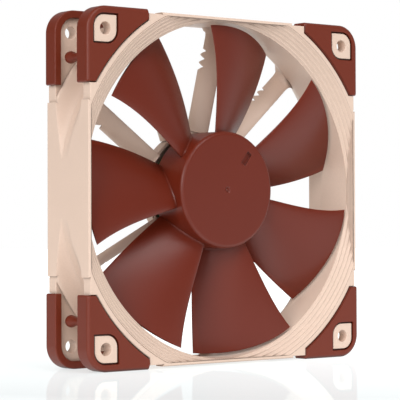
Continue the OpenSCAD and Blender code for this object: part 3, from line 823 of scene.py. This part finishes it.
def finishes():
    """One material for each slot of the record."""
    looks = {
        # The sixth number of each moulded finish lightens its edges as a painted highlight
        "frame_plastic": moulded("frame_plastic", BEIGE, 0.5, 0.0006, 0.00002, 1.06, 0.45),
        "impeller_plastic": moulded("impeller_plastic", BROWN, 0.38, 0.0005, 0.00001, 1.35, 0.4),
        "pad_rubber": moulded("pad_rubber", PAD_BROWN, 0.42, 0.0004, 0.000015, 1.3, 0.4),
        "black_plastic": moulded("black_plastic", (0.03, 0.03, 0.032), 0.5, 0.0004, 0.00001),
        "board_laminate": moulded("board_laminate", (0.03, 0.12, 0.06), 0.35, 0.0005, 0.00001),
        "wear_plastic": moulded("wear_plastic", (0.7, 0.68, 0.6), 0.45, 0.0004, 0.00001),
        "label_paper": moulded("label_paper", (0.72, 0.70, 0.66), 0.6, 0.0003, 0.00001),
        "ferrite": moulded("ferrite", (0.06, 0.055, 0.06), 0.7, 0.0003, 0.00002),
        "coated_steel": moulded("coated_steel", (0.012, 0.012, 0.013), 0.4, 0.0004, 0.00001),
        "steel": metal("steel", (0.5, 0.5, 0.52), 0.35, 0.0004),
        "brass": metal("brass", (0.7, 0.5, 0.22), 0.3, 0.0004),
        "sintered_bronze": metal("sintered_bronze", (0.42, 0.26, 0.14), 0.5, 0.0002),
        "copper_wire": metal("copper_wire", (0.65, 0.27, 0.12), 0.3, 0.0002),
    }
    return {name: look.material for name, look in looks.items()}


def dress_cad(materials):
    """Gives every CAD node the finish of its slot."""
    for part in frame["record"]["subparts"]:
        node = frame["nodes"][part["node"]]
        node.data.materials.clear()
        node.data.materials.append(materials[part["material_slot"]])


# ---------------------------------------------------------------- studio

# Even light from the front and the rear, and what reflections see in front and behind
FRONT_FILL = 0.72
REAR_FILL = 0.66
ROOM = 0.06
SWEEP = 0.5
SWEEP_START = 0.2
SWEEP_END = 0.7
# Distances from the fan, in metres, over which the floor turns pale when seen directly
PALE_REACH = (0.0, 0.3)
# Way across the floor along which its painted glow grows, its reach in metres, and the glow at shares of
# it: weakest towards the front left, so the floor is painted darker there
GLOW_WAY = (0.900, 0.560, 0)
GLOW_REACH = (-0.25, 0.35)
GLOW = ((0.0, 0.0), (0.1, 0.05), (0.18, 0.46), (0.33, 0.6), (0.5, 0.78), (0.75, 1.0))


def studio_camera():
    """Camera at the photograph's viewing angle: low, from the front left."""
    azimuth, elevation, roll = (math.radians(v) for v in (-38.804, -0.91, -0.182))
    distance = 0.641934
    lens, sensor = 165.3, 36.0
    back = Vector((
        math.sin(azimuth) * math.cos(elevation),
        -math.cos(azimuth) * math.cos(elevation),
        math.sin(elevation),
    ))
    right = Vector((math.cos(azimuth), math.sin(azimuth), 0))
    up = back.cross(right).normalized()
    tilted_right = math.cos(roll) * right + math.sin(roll) * up
    tilted_up = math.cos(roll) * up - math.sin(roll) * right
    data = bpy.data.cameras.new("camera")
    data.lens = lens
    data.sensor_width = sensor
    data.shift_x = -0.0199
    data.shift_y = -0.0243
    camera = bpy.data.objects.new("camera", data)
    bpy.context.collection.objects.link(camera)
    camera.matrix_world = Matrix((tilted_right, tilted_up, back)).transposed().to_4x4()
    camera.matrix_world.translation = back * distance
    bpy.context.scene.camera = camera


def soft_light(name, place, size, power):
    """Square softbox aimed at the fan."""
    data = bpy.data.lights.new(name, "AREA")
    data.size = size
    data.energy = power
    light = bpy.data.objects.new(name, data)
    bpy.context.collection.objects.link(light)
    light.location = place
    light.rotation_euler = Vector(place).to_track_quat("Z", "Y").to_euler()


def studio_floor():
    """White, slightly glossy floor under the fan, glowing like a light table: painted light, dimmer towards
    the front left.
    """
    outline = [polar(2500, 3.75 * i) for i in range(96)]
    height = cad_box[0].z / MM
    loops = [[(x, level, -y) for x, y in outline] for level in (height, height - 5)]
    floor = solid("floor", loops)
    look = Shader("floor_gloss")
    tree = look.tree
    tree.nodes.remove(look.surface)
    matte = look.node("ShaderNodeBsdfDiffuse")
    matte.inputs["Color"].default_value = (0.42, 0.44, 0.445, 1)
    gloss = look.node("ShaderNodeBsdfAnisotropic")
    gloss.inputs["Roughness"].default_value = 0.03
    mix = look.node("ShaderNodeMixShader")
    mix.inputs[0].default_value = 0.35
    look.link(matte.outputs[0], mix.inputs[1])
    look.link(gloss.outputs[0], mix.inputs[2])
    glow = look.node("ShaderNodeEmission")
    glow.inputs["Color"].default_value = (0.96, 1.0, 1.0, 1)
    away = look.node("ShaderNodeVectorMath", operation="DOT_PRODUCT")
    look.link(look.place, away.inputs[0])
    away.inputs[1].default_value = GLOW_WAY
    ramp = look.node("ShaderNodeValToRGB")
    look.link(look.span(away.outputs["Value"], 0, 1, *GLOW_REACH), ramp.inputs[0])
    stops = ramp.color_ramp.elements
    for place, level in GLOW[1:-1]:
        stops.new(place)
    for stop, (place, level) in zip(stops, GLOW):
        stop.position = place
        stop.color = (level, level, level, 1)
    # Seen directly, the floor is pale all round
    distance = look.node("ShaderNodeVectorMath", operation="LENGTH")
    look.link(look.place, distance.inputs[0])
    seen = look.node("ShaderNodeLightPath").outputs["Is Camera Ray"]
    pale = look.math("MULTIPLY", look.span(distance.outputs["Value"], 0, 1, *PALE_REACH), seen)
    look.link(look.math("MAXIMUM", ramp.outputs["Color"], pale), glow.inputs["Strength"])
    both = look.node("ShaderNodeAddShader")
    look.link(mix.outputs[0], both.inputs[0])
    look.link(glow.outputs[0], both.inputs[1])
    look.link(both.outputs[0], tree.nodes["Material Output"].inputs["Surface"])
    floor.data.materials.append(look.material)


def studio_room():
    """White sweep behind the fan and a dim room in front of it, whose even light fills the shadows."""
    world = bpy.data.worlds.new("studio")
    bpy.context.scene.world = world
    world.use_nodes = True
    tree = world.node_tree
    sky = tree.nodes["Background"]
    sky.inputs["Color"].default_value = (1, 1, 1, 1)

    def calculate(operation, one, two, three=None):
        made = tree.nodes.new("ShaderNodeMath")
        made.operation = operation
        for socket, value in zip(made.inputs, (one, two, three)):
            if isinstance(value, (int, float)):
                socket.default_value = value
            elif value is not None:
                tree.links.new(value, socket)
        return made.outputs[0]

    direction = tree.nodes.new("ShaderNodeTexCoord").outputs["Generated"]
    axes = tree.nodes.new("ShaderNodeSeparateXYZ")
    tree.links.new(direction, axes.inputs[0])

    def along(value, front, rear, front_value, rear_value, curve):
        made = tree.nodes.new("ShaderNodeMapRange")
        made.interpolation_type = curve
        tree.links.new(value, made.inputs["Value"])
        numbers = (("From Min", front), ("From Max", rear), ("To Min", front_value), ("To Max", rear_value))
        for key, number in numbers:
            made.inputs[key].default_value = number
        return made.outputs["Result"]

    fill = along(axes.outputs["Y"], -1, 1, FRONT_FILL, REAR_FILL, "LINEAR")
    to_right = calculate("MULTIPLY", axes.outputs["X"], 0.8)
    to_rear_right = calculate("MULTIPLY_ADD", axes.outputs["Y"], 0.6, to_right)
    mirrored_room = along(to_rear_right, SWEEP_START, SWEEP_END, ROOM, SWEEP, "SMOOTHSTEP")
    rays = tree.nodes.new("ShaderNodeLightPath")
    extra = calculate("SUBTRACT", mirrored_room, fill)
    strength = calculate("MULTIPLY_ADD", rays.outputs["Is Glossy Ray"], extra, fill)
    rest = calculate("SUBTRACT", 1.0, strength)
    strength = calculate("MULTIPLY_ADD", rays.outputs["Is Camera Ray"], rest, strength)
    tree.links.new(strength, sky.inputs["Strength"])
    # Each kind of ray sees its own room, so the room isn't sampled as a lamp
    world.cycles.sampling_method = "NONE"


def studio():
    studio_room()
    bpy.context.scene.view_settings.view_transform = "Standard"
    soft_light("key_light", (-1.15, -0.55, 0.45), 0.7, 9.5)
    soft_light("front_light", (-0.45, -1.2, 0.2), 0.8, 2.5)
    soft_light("top_light", (0.0, -0.8, 1.0), 0.6, 5.5)
    studio_floor()
    studio_camera()


# ---------------------------------------------------------------- assembly

studio()
materials = finishes()
dress_cad(materials)
frame_moulding(materials["frame_plastic"])
corner_pads(materials["pad_rubber"])
impeller(materials["impeller_plastic"])
